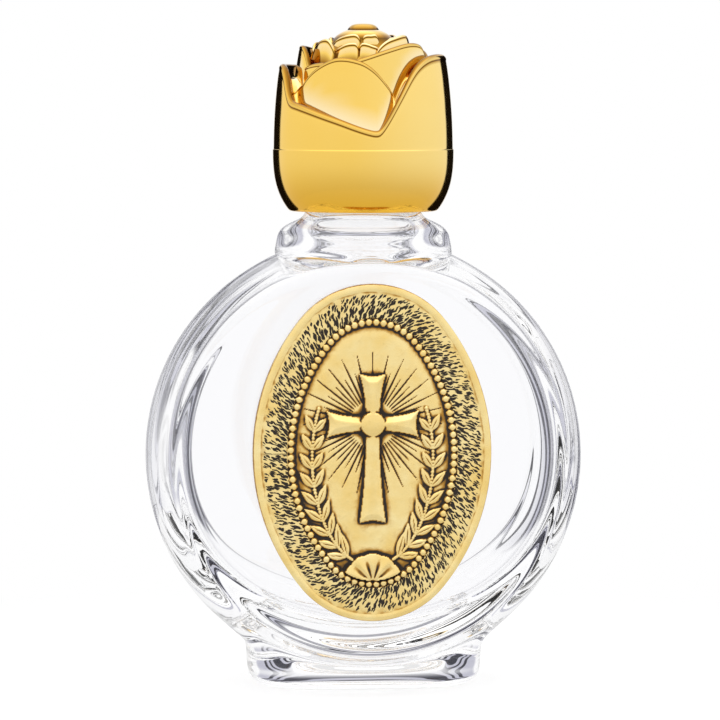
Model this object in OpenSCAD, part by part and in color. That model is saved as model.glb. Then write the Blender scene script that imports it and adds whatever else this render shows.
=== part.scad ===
// A small round flat glass bottle on a foot, with an oval medallion on its front
// and a rosebud screw cap. Millimetres, +Z up. The front is -Y, and the origin is
// the centre of the foot's underside.

/* [Glass body] */
// Radius of the round body
body_r = 27.3; // [25:0.1:32]
// Thickness of the body between its two flat panels
body_t = 24; // [21:0.5:30]
// Distance from the body's outline in to the edge of the flat panel
panel_inset = 4.5; // [4:0.1:6]
// Radius of the rounding between a panel and the side
panel_round = 1.2; // [0.8:0.1:2]
// Thickness of the glass wall
wall = 2.4; // [2:0.1:3]
// Distance from the cavity's outline in to the edge of its flat
cavity_inset = 2.8; // [2.4:0.1:4]
// Radius of the rounding inside, between panel and side
cavity_round = 1.2; // [0.8:0.1:2]
// Height of the cavity's middle above the body's, which leaves a thicker base
cavity_lift = 0.8; // [0:0.1:1]

/* [Foot] */
// Height of the body's lowest point above the table
body_lift = 1.5; // [0.8:0.1:3]
// Width of the foot
foot_w = 29.2; // [24:0.2:34]
// Depth of the foot
foot_d = 19; // [15:0.2:22]
// Height of the foot's walls
foot_h = 6; // [5:0.1:8]
// Radius of the foot's corners, seen from above
foot_corner = 7.2; // [3:0.1:7.4]
// Radius of the foot's lower edge
foot_round = 2; // [0.5:0.1:2.4]

/* [Collar and neck] */
// Diameter of the collar on the shoulder
collar_d = 21.6; // [20:0.1:24]
// Height of the collar's top above the top of the body
collar_rise = 1.6; // [1:0.1:3]
// Radius of the collar's rounded top edge
collar_round = 2.2; // [1:0.1:2.4]
// Diameter of the neck below the thread
neck_d = 14.2; // [13.4:0.1:14.6]
// Radius of the hollow curve between the collar and the neck
neck_fillet = 1.2; // [0.5:0.1:1.4]
// Height of the neck above the collar
neck_h = 12; // [11:0.1:14]
// Diameter of the bore through the neck
bore_d = 8.4; // [7:0.1:9.4]
// Radius of the rounding on the rim
rim_round = 0.5; // [0.2:0.1:0.8]

/* [Screw thread] */
// Pitch of the thread
pitch = 2.117; // [2:0.001:2.6]
// Diameter of the neck between the ridges of its thread
thread_root_d = 13; // [12.4:0.1:13.2]
// Diameter over the ridges of the neck's thread
thread_d = 14.6; // [14:0.1:15]
// Number of turns of thread on the neck and in the insert
thread_turns = 2; // [1:0.25:2.5]
// Distance from the rim down to the top end of the neck's thread
thread_drop = 1.6; // [1.2:0.1:2.5]
// Width of a ridge at its root
ridge_w = 1.1; // [0.8:0.05:1.2]
// Width of a ridge at its crest
ridge_tip_w = 0.5; // [0.3:0.05:0.7]
// Clearance between the neck and the insert, across the radius
thread_gap = 0.2; // [0.15:0.05:0.4]

/* [Cap] */
// Gap between the collar's top and the cap's lower edge
cap_gap = 1.6; // [1:0.1:3]
// Height of the cap
cap_h = 23.3; // [21:0.1:28]
// Diameter of the cap at its parting line
cap_d = 22.6; // [21:0.1:25]
// Diameter of the cap's lower edge
cap_edge_d = 18.5; // [17.8:0.1:20]
// Height of the parting line above the cap's lower edge
parting_h = 7.7; // [6:0.1:9]
// Step from the lower half in to the upper half at the parting line
parting_step = 0.1; // [0.05:0.05:0.2]
// Turn of the rose about the cap's axis
rose_turn = -4.8; // [-30:0.1:30]
// How far the outer petals lean in at the height of their tips
petal_lean = 1; // [0.5:0.1:1.4]
// Thickness of a petal's edge
petal_edge = 0.6; // [0.4:0.05:0.7]
// Depth of the groove behind a petal's edge
petal_groove = 0.7; // [0.3:0.05:0.9]
// Radius of the bud in the middle of the rose
bud_r = 1.8; // [1:0.1:2.2]
// Radius of the hollow above the insert
core_r = 5; // [3:0.1:5.5]
// Height of the hollow above the insert
core_h = 4; // [2:0.1:5]

/* [Insert and liner] */
// Thickness of the insert's sleeve behind its thread
insert_wall = 0.8; // [0.6:0.05:0.9]
// Thickness of the insert's top
insert_top = 1.2; // [0.8:0.1:1.6]
// Distance from the cap's lower edge up to the insert's
insert_recess = 0.7; // [0.3:0.1:1.5]
// Clearance between the insert and the shell, across the radius
insert_gap = 0.05; // [0.02:0.01:0.1]
// Thickness of the liner disc
liner_t = 1; // [0.6:0.1:1.6]
// Clearance around the liner disc, across the radius
liner_gap = 0.15; // [0.1:0.05:0.3]

/* [Medallion] */
// Width of the oval plate
medal_w = 29.1; // [24:0.1:34]
// Height of the oval plate
medal_h = 41.2; // [36:0.1:42]
// Height of the plate's middle above the body's
medal_up = 1.4; // [0:0.1:1.5]
// Radius of the oval's ends
medal_end_r = 11.2; // [9:0.1:11.6]
// Thickness of the plate under its relief
plate_t = 1.1; // [0.8:0.1:1.6]
// Width of the raised rim
rim_w = 0.9; // [0.5:0.1:1.4]
// Width of the border between the rim and the inner ring
border_w = 3.2; // [2:0.1:4]
// Width of the inner ring
ring_w = 0.9; // [0.5:0.1:1.4]
// Height of the rim and the inner ring above the plate
rim_rise = 0.5; // [0.3:0.05:0.8]
// Height of the rays above the plate
ray_rise = 0.2; // [0.1:0.05:0.3]
// Number of rays
ray_count = 32; // [16:4:48]
// Height of the cross above the plate
cross_rise = 0.9; // [0.5:0.05:1.2]
// Height of the cross
cross_h = 19; // [14:0.1:22]
// Width of the cross
cross_w = 11.4; // [8:0.1:13]
// Width of an arm at the crossing
arm_w = 2; // [1.4:0.1:2.6]
// Width of an arm at its flared end
arm_end_w = 3.4; // [2:0.1:4]
// Height of the crossing above the middle of the plate
crossing_up = 3.6; // [2:0.1:5]
// Thickness of the adhesive pad
pad_t = 0.4; // [0.2:0.05:0.8]
// Distance from the plate's edge in to the pad's
pad_inset = 1.5; // [0.5:0.1:3]

/* [Hidden] */
$fn = 96;
overlap = 0.5;
ridge_sunk = 0.4;
arc_steps = 12;

// Heights up the bottle's axis
body_z = body_lift + body_r;
collar_top = body_lift + 2 * body_r + collar_rise;
rim_z = collar_top + neck_h;
cap_z = collar_top + cap_gap;
parting_z = cap_z + parting_h;
insert_z = cap_z + insert_recess;
liner_top = rim_z + liner_t;
insert_top_z = liner_top + insert_top;

// Radii about the bottle's axis
collar_r = collar_d / 2;
neck_r = neck_d / 2;
root_r = thread_root_d / 2;
crest_r = thread_d / 2;
bore_r = bore_d / 2;
cap_r = cap_d / 2;
insert_bore_r = crest_r + thread_gap;
insert_crest_r = root_r + thread_gap;
insert_r = insert_bore_r + insert_wall;
socket_r = insert_r + insert_gap;
liner_r = insert_bore_r - liner_gap;

// The neck keeps its full diameter up to here, and narrows to the thread's root above
neck_top = cap_z + insert_recess;
thread_z = rim_z - thread_drop - thread_turns * pitch;

// Rosebud: heights are hundredths of the rise from the parting line to the top, and
// radii hundredths of the cap's radius, at angles from the front towards +X
rose_h = cap_h - parting_h;
rose_steps = 72;
cup_heights = [
    [-180, 62], [-170, 58], [-155, 46], [-142, 59], [-130, 65], [-115, 67], [-76, 67], [-70, 64],
    [-66, 60], [-60, 46], [-56, 40], [-49, 38], [-39, 35], [-27, 30], [-15, 25], [-5, 20], [5, 16],
    [10, 15], [18, 28], [24, 40], [35, 61], [41, 67], [50, 73], [60, 75], [72, 76], [90, 75],
    [100, 73], [110, 71], [120, 63], [130, 51], [140, 40], [150, 48], [160, 58], [170, 62], [180, 62]
];
petal_tip = max([for (p = cup_heights) p.y]) / 100;
inner_heights = [
    [-180, 75], [-165, 71], [-150, 60], [-138, 70], [-128, 78], [-110, 81], [-90, 83], [-76, 80],
    [-68, 48], [-62, 42], [-53, 49], [-42, 57], [-31, 65], [-22, 69], [-12, 70], [-4, 69], [4, 64],
    [11, 57], [18, 49], [24, 46], [35, 63], [50, 76], [90, 78], [110, 76], [128, 60], [140, 62],
    [165, 73], [180, 75]
];
inner_radii = [
    [-180, 80], [-110, 74], [-90, 72], [-68, 76], [-60, 83], [24, 83], [40, 78], [90, 76], [180, 80]
];
second_heights = [
    [-180, 79], [-170, 70], [-150, 79], [-120, 83], [-100, 78], [-80, 72], [-60, 71], [-30, 72],
    [0, 74], [20, 77], [45, 81], [70, 82], [85, 79], [100, 68], [115, 78], [150, 83], [180, 79]
];
second_radii = [[-180, 66], [-90, 62], [0, 63], [30, 68], [70, 69], [110, 66], [180, 66]];
third_heights = [
    [-180, 88], [-150, 84], [-130, 82], [-100, 86], [-80, 86], [-55, 81], [-40, 82], [-20, 82],
    [-3, 78], [20, 82], [35, 82], [50, 84], [80, 88], [100, 88], [125, 81], [150, 87], [180, 88]
];
third_radii = [[-180, 48], [-60, 47], [0, 49], [60, 49], [180, 48]];
fourth_heights = [
    [-180, 92], [-140, 88], [-90, 91], [-40, 89], [-10, 86], [30, 89], [80, 91], [130, 87], [180, 92]
];
fourth_radii = [[-180, 29], [180, 29]];
bud_steps = 4;
bowl_steps = 14;

// Inner medallion outlines, as distances in from the plate's edge
border_in = rim_w + border_w;
field_in = border_in + ring_w;

// Points along an arc about [x, y]
function arc(x, y, r, from, to, steps = arc_steps) = [
    for (i = [0 : steps])
        let (a = from + (to - from) * i / steps)
        [x + r * cos(a), y + r * sin(a)]
];

// Half section of the collar, the neck and its rim
function neck_section() = concat(
    [[0, body_z], [collar_r, body_z]],
    arc(collar_r - collar_round, collar_top - collar_round, collar_round, 0, 90),
    arc(neck_r + neck_fillet, collar_top + neck_fillet, neck_fillet, 270, 180),
    [[neck_r, neck_top], [root_r, neck_top + neck_r - root_r]],
    arc(root_r - rim_round, rim_z - rim_round, rim_round, 0, 90),
    [[0, rim_z]]
);

// Four-arc oval, a given distance inside the plate's edge
function oval(inset) =
    let (
        half_w = medal_w / 2,
        up = medal_h / 2 - medal_end_r,
        side_r = (half_w ^ 2 + up ^ 2 - medal_end_r ^ 2) / (2 * (half_w - medal_end_r)),
        side_x = side_r - half_w,
        turn = atan2(up, side_x)
    )
    concat(
        arc(-side_x, 0, side_r - inset, -turn, turn),
        arc(0, up, medal_end_r - inset, turn, 180 - turn),
        arc(side_x, 0, side_r - inset, 180 - turn, 180 + turn),
        arc(0, -up, medal_end_r - inset, 180 + turn, 360 - turn)
    );

// Half section of the cap below its parting line: upright at the line, and drawn in
// faster and faster towards the lower edge
function lower_section() =
    let (draw_in = cap_r - cap_edge_d / 2)
    concat(
        [[0, 0]],
        [
            for (i = [0 : bowl_steps])
                let (share = 1 - i / bowl_steps)
                [cap_r - draw_in * share ^ 3, parting_h * (1 - share)]
        ],
        [[0, parting_h]]
    );

// Radius of the cap's outer petals at a height above the parting line
function petal_r(h) = cap_r - parting_step - petal_lean * (h / (petal_tip * rose_h)) ^ 2;

// Height above the parting line, and radius, from a petal ring's lists
function rise(heights, a) = rose_h * lookup(a, heights) / 100;
function ring_r(radii, a) = cap_r * lookup(a, radii) / 100;

// Section of the outer petals at an angle, from the parting line over the edge
function cup_section(a) =
    let (h = rise(cup_heights, a), r = petal_r(h), lip = petal_edge / 3)
    [
        [petal_r(0), -overlap], [petal_r(0), 0], [petal_r(h / 2), h / 2], [r, h - lip], [r - lip, h],
        [r - petal_edge, h], [r - petal_edge - lip, h - petal_groove]
    ];

// Section of an inner ring of petals at an angle, from the groove outside it
function ring_section(heights, radii, groove, a) =
    let (h = rise(heights, a), r = ring_r(radii, a), lip = petal_edge / 3)
    [
        [r + lip, min(groove, h) - lip], [r, h - lip], [r - lip, h], [r - petal_edge, h],
        [r - petal_edge - lip, h - petal_groove]
    ];

// Section of the whole rosebud at an angle
function rose_section(a) = concat(
    cup_section(a),
    ring_section(inner_heights, inner_radii, rise(cup_heights, a) - petal_groove, a),
    ring_section(second_heights, second_radii, rise(inner_heights, a) - petal_groove, a),
    ring_section(third_heights, third_radii, rise(second_heights, a) - petal_groove, a),
    ring_section(fourth_heights, fourth_radii, rise(third_heights, a) - petal_groove, a),
    arc(0, rose_h - bud_r, bud_r, 0, 75, bud_steps)
);

// Closed solid from equal sections at equal angles about Z, each from its lowest
// outer point in towards the axis
module turned_sections(sections, apex) {
    count = len(sections);
    length = len(sections[0]);
    points = [
        for (i = [0 : count - 1], p = sections[i])
            let (a = 360 * i / count - 180)
            [p.x * sin(a), -p.x * cos(a), p.y]
    ];
    walls = [
        for (i = [0 : count - 1], k = [0 : length - 2])
            let (here = i * length + k, next = (i + 1) % count * length + k)
            each [[here, here + 1, next + 1], [here, next + 1, next]]
    ];
    top = [
        for (i = [0 : count - 1])
            [i * length + length - 1, count * length, (i + 1) % count * length + length - 1]
    ];
    bottom = [[for (i = [0 : count - 1]) i * length]];
    polyhedron(concat(points, [[0, 0, apex]]), concat(walls, top, bottom));
}

// Ridge of a thread about Z. Its root lies inside the wall that carries it, and its
// height runs out at both ends. A ridge that points inward has a crest below its root.
module thread_ridge(ridge_root, ridge_crest) {
    per_turn = 36;
    run_out_steps = 6;
    steps = round(thread_turns * per_turn);
    depth = ridge_crest - ridge_root;
    sunk = ridge_sunk * sign(depth);
    points = [
        for (i = [0 : steps])
            let (
                a = 360 * i / per_turn,
                z = pitch * i / per_turn,
                run_out = min(1, i / run_out_steps, (steps - i) / run_out_steps),
                crest = ridge_root - sunk / 2 + (depth + sunk / 2) * run_out,
                foot = ridge_w / 2,
                tip = ridge_tip_w / 2
            )
            for (p = [[ridge_root - sunk, -foot], [crest, -tip], [crest, tip], [ridge_root - sunk, foot]])
                [p.x * cos(a), p.x * sin(a), z + p.y]
    ];
    turn = depth > 0 ? [0, 1, 2, 3] : [3, 2, 1, 0];
    walls = [
        for (i = [0 : steps - 1], k = [0 : 3])
            let (here = 4 * i + turn[k], next = 4 * i + turn[(k + 1) % 4])
            each [[here, next + 4, here + 4], [here, next, next + 4]]
    ];
    start = [for (k = [3 : -1 : 0]) turn[k]];
    end = [for (k = [0 : 3]) 4 * steps + turn[k]];
    polyhedron(points, concat(walls, [start, end]));
}

// Prism from a rounded rectangle that stands on the table and loses its lower corners
module soled_prism(width, length) {
    rotate([90, 0, 0])
        linear_extrude(length, center = true)
            polygon(concat(
                [[width / 2, foot_h], [-width / 2, foot_h]],
                arc(foot_round - width / 2, foot_round, foot_round, 180, 270),
                arc(width / 2 - foot_round, foot_round, foot_round, 270, 360)
            ));
}

module foot() {
    x = foot_w / 2 - foot_corner;
    y = foot_d / 2 - foot_corner;
    intersection() {
        linear_extrude(foot_h)
            polygon(concat(
                arc(x, y, foot_corner, 0, 90), arc(-x, y, foot_corner, 90, 180),
                arc(-x, -y, foot_corner, 180, 270), arc(x, -y, foot_corner, 270, 360)
            ));
        soled_prism(foot_w, foot_d);
        rotate([0, 0, 90]) soled_prism(foot_d, foot_w);
    }
}

// Flat round body that stands on its edge: flat panels, rounded corners and a bowed
// side, each tangent to the next
module flat_round(r, half, inset, corner, lift) {
    flat_r = r - inset;
    side_x = ((r - corner) ^ 2 - flat_r ^ 2 - (half - corner) ^ 2) / (2 * (inset - corner));
    side_r = r - side_x;
    side_half = side_r * sin(atan2(half - corner, flat_r - side_x));
    translate([0, 0, body_z + lift])
        rotate([90, 0, 0])
            rotate_extrude() {
                translate([0, -half])
                    square([flat_r, 2 * half]);
                for (y = [corner - half, half - corner])
                    translate([flat_r, y])
                        circle(corner);
                intersection() {
                    translate([side_x, 0])
                        circle(side_r);
                    translate([0, -side_half])
                        square([r, 2 * side_half]);
                }
            }
}

module glass_bottle() {
    color([0.82, 0.86, 0.92, 0.5]) {
        difference() {
            union() {
                flat_round(body_r, body_t / 2, panel_inset, panel_round, 0);
                foot();
                rotate_extrude()
                    polygon(neck_section());
            }
            flat_round(body_r - wall, body_t / 2 - wall, cavity_inset, cavity_round, cavity_lift);
            translate([0, 0, body_z])
                cylinder(h = rim_z - body_z + overlap, r = bore_r);
        }
        translate([0, 0, thread_z])
            thread_ridge(root_r, crest_r);
    }
}

// Puts a flat design on the front panel, a given distance out from the glass
module on_front(out) {
    translate([0, -body_t / 2 - out, body_z + medal_up])
        rotate([90, 0, 0])
            children();
}

module oval_ring(outer, inner, height) {
    linear_extrude(height)
        difference() {
            polygon(oval(outer));
            polygon(oval(inner));
        }
}

module cross_arm(reach) {
    polygon([[-arm_w / 2, 0], [arm_w / 2, 0], [arm_end_w / 2, reach], [-arm_end_w / 2, reach]]);
}

module cross() {
    arm = cross_w / 2;
    up = arm;
    translate([0, crossing_up]) {
        cross_arm(up);
        rotate(90) cross_arm(arm);
        rotate(-90) cross_arm(arm);
        rotate(180) cross_arm(cross_h - up);
    }
}

// Rays that spread from the crossing out to the inner ring
module rays() {
    ray_start = cross_w / 4;
    ray_start_w = 0.2;
    ray_end_w = 0.9;
    intersection() {
        polygon(oval(field_in - ring_w / 2));
        translate([0, crossing_up])
            for (i = [0 : ray_count - 1])
                rotate(360 * (i + 0.5) / ray_count)
                    polygon([
                        [-ray_start_w / 2, ray_start], [ray_start_w / 2, ray_start],
                        [ray_end_w / 2, medal_h], [-ray_end_w / 2, medal_h]
                    ]);
    }
}

module medallion() {
    color([0.79, 0.6, 0.25])
        on_front(pad_t) {
            linear_extrude(plate_t)
                polygon(oval(0));
            oval_ring(0, rim_w, plate_t + rim_rise);
            oval_ring(border_in, field_in, plate_t + rim_rise);
            linear_extrude(plate_t + ray_rise)
                rays();
            linear_extrude(plate_t + cross_rise)
                cross();
        }
}

module medallion_adhesive() {
    color([0.9, 0.9, 0.86])
        on_front(0)
            linear_extrude(pad_t)
                polygon(oval(pad_inset));
}

module rose_cap() {
    sections = [for (i = [0 : rose_steps - 1]) rose_section(360 * i / rose_steps - 180)];
    color([0.93, 0.76, 0.33])
        difference() {
            union() {
                translate([0, 0, cap_z])
                    rotate_extrude()
                        polygon(lower_section());
                translate([0, 0, parting_z])
                    rotate([0, 0, rose_turn])
                        turned_sections(sections, rose_h);
            }
            translate([0, 0, cap_z - overlap])
                cylinder(h = insert_top_z - cap_z + overlap, r = socket_r);
            translate([0, 0, insert_top_z - overlap])
                cylinder(h = core_h + overlap, r = core_r);
        }
}

module cap_insert() {
    color([0.95, 0.95, 0.93]) {
        difference() {
            translate([0, 0, insert_z])
                cylinder(h = insert_top_z - insert_z, r = insert_r);
            translate([0, 0, insert_z - overlap])
                cylinder(h = liner_top - insert_z + overlap, r = insert_bore_r);
        }
        translate([0, 0, thread_z - pitch / 2])
            thread_ridge(insert_bore_r, insert_crest_r);
    }
}

module cap_liner() {
    color([0.93, 0.92, 0.88])
        translate([0, 0, rim_z])
            cylinder(h = liner_t, r = liner_r);
}

glass_bottle();
medallion();
medallion_adhesive();
rose_cap();
cap_insert();
cap_liner();
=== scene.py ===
import math

import bmesh
import bpy
import numpy as np
from mathutils import Matrix, Vector


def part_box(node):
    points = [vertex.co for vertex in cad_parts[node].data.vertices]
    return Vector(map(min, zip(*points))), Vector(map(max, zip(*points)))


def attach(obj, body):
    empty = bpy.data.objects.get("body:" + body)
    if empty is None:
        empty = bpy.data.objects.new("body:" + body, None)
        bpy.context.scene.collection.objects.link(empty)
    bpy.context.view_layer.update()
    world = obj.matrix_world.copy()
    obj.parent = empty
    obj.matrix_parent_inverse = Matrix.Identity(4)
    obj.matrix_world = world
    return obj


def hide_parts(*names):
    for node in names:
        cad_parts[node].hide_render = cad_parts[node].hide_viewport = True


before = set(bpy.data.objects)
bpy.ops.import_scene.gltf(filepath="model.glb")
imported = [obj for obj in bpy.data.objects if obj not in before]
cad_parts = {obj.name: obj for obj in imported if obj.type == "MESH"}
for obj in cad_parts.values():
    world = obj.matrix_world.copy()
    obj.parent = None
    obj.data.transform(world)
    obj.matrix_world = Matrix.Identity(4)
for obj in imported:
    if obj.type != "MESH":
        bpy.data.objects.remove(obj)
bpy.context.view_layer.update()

# Pieces are modelled in millimetres and brought to metres when they are finished.
MM = 0.001


def corners(node_name):
    """A solid's lowest and highest corners in millimetres."""
    low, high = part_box(node_name)
    return low / MM, high / MM


GLASS_HIGH = corners("glass_bottle")[1]
CAP_LOW, CAP_HIGH = corners("rose_cap")
PLATE_LOW, PLATE_HIGH = corners("medallion")

# Bottle: a round flat body on a foot, with a collar and a screw neck.
BODY_R = GLASS_HIGH.x
BODY_HALF = GLASS_HIGH.y
BODY_Z = 28.8
RIM_Z = GLASS_HIGH.z
WALL = 2.4
CAVITY_LIFT = 0.8
COLLAR_R = 10.8
COLLAR_TOP = 57.7
NECK_R = 7.1
THREAD_ROOT_R = 6.5
THREAD_RISE = 0.8
THREAD_PITCH = 2.117
THREAD_START = 63.87
THREAD_TURNS = 2.0
THREAD_HALF = 0.62
THREAD_FLANK = 0.36
THREAD_FADE = 0.08
BORE_R = 4.2
FOOT_HALF_X = 14.6
FOOT_HALF_Y = 9.5

# Cap: a rosebud moulded in two halves that meet at the parting line.
CAP_R = CAP_HIGH.x
CAP_BOTTOM = CAP_LOW.z
CAP_TOP = CAP_HIGH.z
CAP_EDGE_R = 9.25
PARTING_Z = 67.0
PARTING_STEP = 0.1
SOCKET_R = 8.36
SOCKET_TOP = 71.95
PETAL_LEAN = 1.0
PETAL_TIP = 12.2
PETAL_THICK = 0.2

# Medallion: an oval of four arcs.
PLATE_HALF_X = PLATE_HIGH.x
PLATE_HALF_Z = (PLATE_HIGH.z - PLATE_LOW.z) / 2
PLATE_Z = (PLATE_HIGH.z + PLATE_LOW.z) / 2
PLATE_BACK = PLATE_HIGH.y
PLATE_THICK = 1.1
OVAL_END_R = 11.2
RIM_WIDTH = 0.9
BORDER_WIDTH = 3.2
BEAD_SIZE = 0.9
CROSSING_UP = 3.6
RAY_COUNT = 56


def linear(code):
    """An sRGB hex colour as the linear colour that a shader takes."""
    parts = [int(code[i:i + 2], 16) / 255 for i in (1, 3, 5)]
    return [p / 12.92 if p <= 0.04045 else ((p + 0.055) / 1.055) ** 2.4 for p in parts] + [1.0]


def add_node(tree, kind, settings=None, inputs=None):
    """Adds a node; an input is a value or the output that it is linked to."""
    made = tree.nodes.new(kind)
    for key, value in (settings or {}).items():
        setattr(made, key, value)
    for key, value in (inputs or {}).items():
        if isinstance(value, bpy.types.NodeSocket):
            tree.links.new(value, made.inputs[key])
        else:
            made.inputs[key].default_value = value
    return made


def new_material(name):
    """An empty material with its shader and output, and the place of each point on the piece."""
    material = bpy.data.materials.new(name)
    material.use_nodes = True
    tree = material.node_tree
    tree.nodes.clear()
    shader = add_node(tree, "ShaderNodeBsdfPrincipled")
    add_node(tree, "ShaderNodeOutputMaterial", None, {"Surface": shader.outputs["BSDF"]})
    place = add_node(tree, "ShaderNodeTexCoord").outputs["Object"]
    return material, tree, shader, place


def ring_gain(count):
    """Subdivision draws a ring of count points in, so its cage is made larger by this much."""
    return 3 / (2 + math.cos(2 * math.pi / count))


def pick(piece, kind, test):
    """Selects the points, edges or faces that pass the test, and nothing else."""
    bpy.ops.mesh.select_mode(type=kind)
    bpy.ops.mesh.select_all(action="DESELECT")
    cage = bmesh.from_edit_mesh(piece.data)
    parts = {"VERT": cage.verts, "EDGE": cage.edges, "FACE": cage.faces}[kind]
    for part in parts:
        if test(part):
            part.select_set(True)
    cage.select_flush_mode()
    bmesh.update_edit_mesh(piece.data)


def move(piece, place):
    """Moves each selected point to where place puts it."""
    cage = bmesh.from_edit_mesh(piece.data)
    for point in cage.verts:
        if point.select:
            point.co = place(point.co)
    bmesh.update_edit_mesh(piece.data)


def pull(piece, place):
    """Extrudes what is selected and moves each new point to where place puts it."""
    bpy.ops.mesh.extrude_region()
    move(piece, place)


def face_outwards():
    """Turns every face of the piece being edited outwards, and ends the editing."""
    bpy.ops.mesh.select_all(action="SELECT")
    bpy.ops.mesh.normals_make_consistent(inside=False)
    bpy.ops.object.mode_set(mode="OBJECT")


def read_points(piece):
    """The piece's points, one row each."""
    points = np.empty(len(piece.data.vertices) * 3)
    piece.data.vertices.foreach_get("co", points)
    return points.reshape(-1, 3)


def write_points(piece, points):
    """Moves the piece's points to the rows given."""
    piece.data.vertices.foreach_set("co", points.ravel())
    piece.data.update()


def apply_modifier(piece, kind, **settings):
    """Adds a modifier to the piece and applies it."""
    bpy.context.view_layer.objects.active = piece
    modifier = piece.modifiers.new(kind.lower(), kind)
    for key, value in settings.items():
        setattr(modifier, key, value)
    bpy.ops.object.modifier_apply(modifier=modifier.name)


def begin():
    """Leaves nothing selected, so that the next operator acts on its own piece alone."""
    bpy.ops.object.select_all(action="DESELECT")


def join(pieces, name):
    """Joins pieces into one with the name."""
    begin()
    for piece in pieces:
        piece.select_set(True)
    bpy.context.view_layer.objects.active = pieces[0]
    bpy.ops.object.join()
    pieces[0].name = name
    return pieces[0]


def finish_piece(piece, material, body, replaced):
    """Brings a piece to metres, shades it smooth and gives it its finish, body and place in the model."""
    piece.data.transform(Matrix.Scale(MM, 4))
    piece.data.materials.clear()
    piece.data.materials.append(material)
    begin()
    piece.select_set(True)
    bpy.context.view_layer.objects.active = piece
    bpy.ops.object.shade_smooth()
    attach(piece, body)
    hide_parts(replaced)


# Glass bottle

# Points round the body's cage, and round the rings of the neck, bore and foot.
DISC_COLUMNS = 32
RING_POINTS = 20
# Columns of the cage that the neck and the foot take up.
NECK_COLUMNS = 4
FOOT_COLUMNS = 6
# The flats lie a hair inside the pad's face, so glass and pad never share a plane.
PANEL_HALF = BODY_HALF - 0.03
# Rings of the body's cage from its widest line to the panel: radius, distance from the middle.
BODY_LOOPS = [
    (BODY_R + 0.15, 0), (BODY_R - 0.25, 4.4), (BODY_R - 1.55, 8.3), (BODY_R - 2.75, BODY_HALF - 1.25),
    (BODY_R - 3.5, BODY_HALF - 0.15), (BODY_R - 4.7, BODY_HALF), (BODY_R - 6.3, PANEL_HALF),
    (BODY_R - 9.3, PANEL_HALF)
]
# The same for the cavity, one wall's thickness in.
CAVITY_HALF = BODY_HALF - WALL
CAVITY_R = BODY_R - WALL
CAVITY_LOOPS = [
    (CAVITY_R + 0.15, 0), (CAVITY_R - 0.15, 3.6), (CAVITY_R - 0.95, 6.8),
    (CAVITY_R - 1.6, CAVITY_HALF - 0.95), (CAVITY_R - 2.2, CAVITY_HALF - 0.12),
    (CAVITY_R - 3.2, CAVITY_HALF + 0.02), (CAVITY_R - 4.8, CAVITY_HALF), (CAVITY_R - 8.3, CAVITY_HALF)
]
# The cavity's bottom starts to lift this far below its middle, over this height, and narrows by this share.
BASE_START = 5
BASE_REACH = 20
BASE_RISE = 2.8
BASE_NARROW = 0.2
# Rings of the collar and neck, from the shoulder up to the rim: radius, height.
NECK_RINGS = [
    (COLLAR_R + 0.4, COLLAR_TOP - 4.1), (COLLAR_R + 0.15, COLLAR_TOP - 2.6),
    (COLLAR_R - 0.05, COLLAR_TOP - 1.3), (COLLAR_R - 0.7, COLLAR_TOP - 0.4),
    (COLLAR_R - 1.9, COLLAR_TOP + 0.25), (NECK_R + 0.6, COLLAR_TOP + 0.7), (NECK_R + 0.1, COLLAR_TOP + 1.4),
    (NECK_R, COLLAR_TOP + 2.3), (NECK_R - 0.35, COLLAR_TOP + 3.0), (THREAD_ROOT_R, COLLAR_TOP + 3.7),
    (THREAD_ROOT_R, RIM_Z - 6.7), (THREAD_ROOT_R, RIM_Z - 5.1),
    (THREAD_ROOT_R, RIM_Z - 3.5), (THREAD_ROOT_R, RIM_Z - 1.9), (THREAD_ROOT_R, RIM_Z - 0.6),
    (THREAD_ROOT_R - 0.3, RIM_Z - 0.02), (THREAD_ROOT_R - 1.1, RIM_Z)
]
# Rings of the bore, from the cavity's shoulder up to the rim.
BORE_RINGS = [
    (BORE_R + 4.3, COLLAR_TOP - 4.8), (BORE_R + 3.8, COLLAR_TOP - 3.8), (BORE_R + 3.1, COLLAR_TOP - 2.6),
    (BORE_R + 2.3, COLLAR_TOP - 1.3), (BORE_R + 1.5, COLLAR_TOP), (BORE_R + 0.75, COLLAR_TOP + 1.2),
    (BORE_R + 0.2, COLLAR_TOP + 2.3), (BORE_R, COLLAR_TOP + 3.5), (BORE_R, RIM_Z - 3), (BORE_R, RIM_Z - 0.5),
    (BORE_R + 0.4, RIM_Z - 0.02)
]
# The foot's outline in a quarter, as shares of its half width and half depth.
FOOT_QUARTER = [(0, 1), (0.37, 0.98), (0.71, 0.89), (0.92, 0.66), (0.99, 0.34), (1, 0)]
# Rings of the foot, from its top down and in under it: spare width on each side, height.
FOOT_RINGS = [(0.15, 3.0), (0.15, 2.3), (-0.2, 1.0), (-1.7, 0.1), (-3.8, 0), (-6, 0)]
# The foot's top ring rises by this much at its sides, where it meets the round of the body.
FOOT_SIDE_RISE = 2.2


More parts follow.
